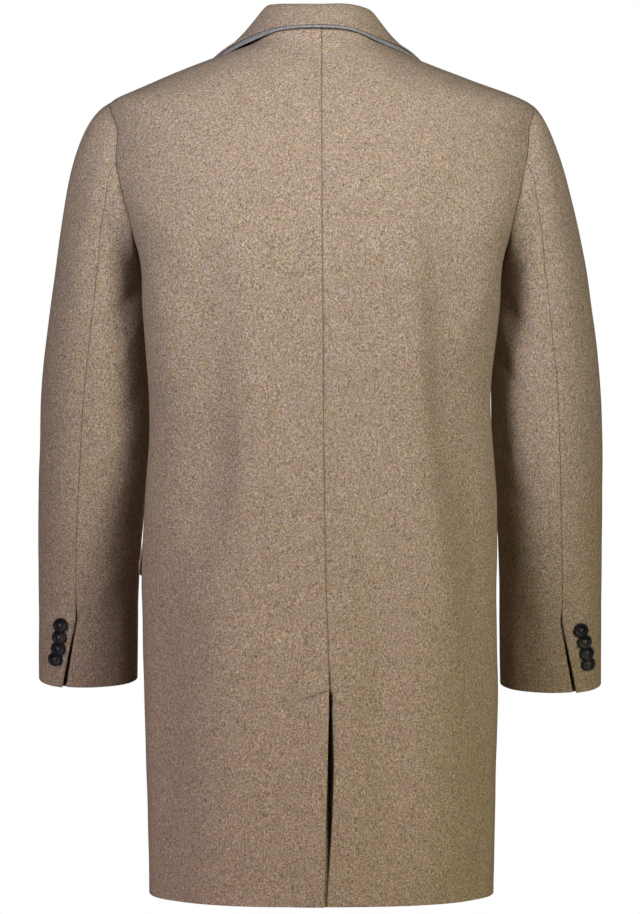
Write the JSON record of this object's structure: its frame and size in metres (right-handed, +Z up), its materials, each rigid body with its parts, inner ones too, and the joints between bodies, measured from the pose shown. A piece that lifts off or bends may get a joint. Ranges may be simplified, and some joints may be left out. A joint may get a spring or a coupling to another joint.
{
  "type": "short coat",
  "caption": "Tailored wool short coat in its worn shape, open and hollow, with turned-down collar, lapels, two-piece sleeves, back vent, flap pockets and buttoned cuffs.",
  "frame": {"origin": "in the neck opening, on the wearer's axis and level with the centre back neck seam, where the coat is held", "axes": "+Z up the wearer, +X to the wearer's left, +Y to the wearer's back; the front faces -Y"},
  "size_m": [0.6332, 0.2971, 0.9698],
  "materials": {
    "wool": "melange wool cloth, matt",
    "felt": "grey wool felt, matt",
    "horn": "dark mottled, polished"
  },
  "bodies": {
    "root": {"back_left": "wool", "back_right": "wool", "collar": "wool", "cuff_button_left_1": "horn", "cuff_button_left_2": "horn", "cuff_button_left_3": "horn", "cuff_button_left_4": "horn", "cuff_button_right_1": "horn", "cuff_button_right_2": "horn", "cuff_button_right_3": "horn", "cuff_button_right_4": "horn", "front_button_1": "horn", "front_button_2": "horn", "front_button_3": "horn", "front_left": "wool", "front_right": "wool", "lapel_left": "wool", "lapel_right": "wool", "pocket_flap_left": "wool", "pocket_flap_right": "wool", "sleeve_top_left": "wool", "sleeve_top_right": "wool", "sleeve_under_left": "wool", "sleeve_under_right": "wool", "undercollar": "felt"}
  },
  "joints": []
}
